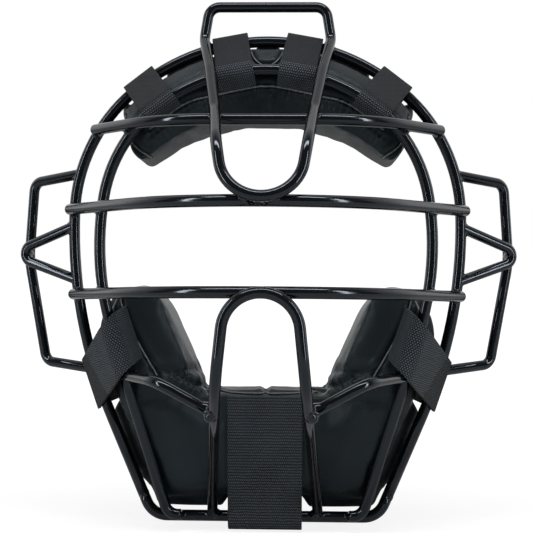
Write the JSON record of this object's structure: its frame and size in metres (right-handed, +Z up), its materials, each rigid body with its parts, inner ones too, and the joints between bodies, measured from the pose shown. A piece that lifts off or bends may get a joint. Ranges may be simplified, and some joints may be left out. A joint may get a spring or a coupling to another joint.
{
  "type": "catchers mask",
  "caption": "Welded wire face mask with a forehead pad and a chin pad, each held by peel-open webbing straps; loops for a head harness.",
  "frame": {"origin": "on the symmetry plane, in the plane of the outer rim's wire, at the middle of the face opening", "axes": "+Z up as the mask is worn, -Y forward, the way the wearer looks, +X to the right as someone facing the mask sees it"},
  "size_m": [0.2748, 0.1322, 0.2869],
  "materials": {
    "wire_coating": "glossy black powder coat on steel wire",
    "pad_cover": "satin charcoal leatherette",
    "pad_foam": "closed-cell foam",
    "webbing": "black woven webbing",
    "chin_webbing": "black webbing in a chevron weave",
    "hook_tape": "hook side of hook-and-loop tape",
    "loop_tape": "loop side of hook-and-loop tape"
  },
  "bodies": {
    "frame_and_pads": {"brow_bar": "wire_coating", "cheek_bar_left": "wire_coating", "cheek_bar_right": "wire_coating", "cheek_left_loop_tape": "loop_tape", "cheek_left_strap": "webbing", "cheek_right_loop_tape": "loop_tape", "cheek_right_strap": "webbing", "chin_bar": "wire_coating", "chin_loop_tape": "loop_tape", "chin_pad_cover": "pad_cover", "chin_pad_foam": "pad_foam", "chin_strap": "chin_webbing", "crown_loop": "wire_coating", "ear_guard_left": "wire_coating", "ear_guard_right": "wire_coating", "eye_bar": "wire_coating", "forehead_pad_cover": "pad_cover", "forehead_pad_foam": "pad_foam", "harness_loop_left": "wire_coating", "harness_loop_right": "wire_coating", "inner_rim": "wire_coating", "lower_u": "wire_coating", "mouth_bar": "wire_coating", "outer_rim": "wire_coating", "side_left_loop_tape": "loop_tape", "side_left_strap": "webbing", "side_right_loop_tape": "loop_tape", "side_right_strap": "webbing", "top_left_loop_tape": "loop_tape", "top_left_strap": "webbing", "top_right_loop_tape": "loop_tape", "top_right_strap": "webbing"},
    "top_right_tail": {"top_right_tail": "webbing", "top_right_hook_tape": "hook_tape"},
    "side_right_tail": {"side_right_tail": "webbing", "side_right_hook_tape": "hook_tape"},
    "cheek_right_tail": {"cheek_right_tail": "webbing", "cheek_right_hook_tape": "hook_tape"},
    "top_left_tail": {"top_left_tail": "webbing", "top_left_hook_tape": "hook_tape"},
    "side_left_tail": {"side_left_tail": "webbing", "side_left_hook_tape": "hook_tape"},
    "cheek_left_tail": {"cheek_left_tail": "webbing", "cheek_left_hook_tape": "hook_tape"},
    "chin_tail": {"chin_tail": "chin_webbing", "chin_hook_tape": "hook_tape"}
  },
  "joints": [
    {"name": "top_right_peel", "type": "hinge", "parent": "frame_and_pads", "child": "top_right_tail", "pos_m": [0.02049, 0.00184, 0.12786], "axis": [0.9842, 0, -0.1768], "range_deg": [0, 100]},
    {"name": "side_right_peel", "type": "hinge", "parent": "frame_and_pads", "child": "side_right_tail", "pos_m": [0.07036, 0.00184, 0.10588], "axis": [0.7946, 0, -0.6071], "range_deg": [0, 100]},
    {"name": "cheek_right_peel", "type": "hinge", "parent": "frame_and_pads", "child": "cheek_right_tail", "pos_m": [0.09506, 0.00202, -0.06122], "axis": [-0.3206, 0, -0.9472], "range_deg": [0, 100]},
    {"name": "top_left_peel", "type": "hinge", "parent": "frame_and_pads", "child": "top_left_tail", "pos_m": [-0.02049, 0.00184, 0.12786], "axis": [0.9842, 0, 0.1768], "range_deg": [0, 100]},
    {"name": "side_left_peel", "type": "hinge", "parent": "frame_and_pads", "child": "side_left_tail", "pos_m": [-0.07036, 0.00184, 0.10588], "axis": [0.7946, 0, 0.6071], "range_deg": [0, 100]},
    {"name": "cheek_left_peel", "type": "hinge", "parent": "frame_and_pads", "child": "cheek_left_tail", "pos_m": [-0.09506, 0.00202, -0.06122], "axis": [-0.3206, 0, 0.9472], "range_deg": [0, 100]},
    {"name": "chin_peel", "type": "hinge", "parent": "frame_and_pads", "child": "chin_tail", "pos_m": [0, 0.00355, -0.13793], "axis": [-1, 0, 0], "range_deg": [0, 100]}
  ]
}
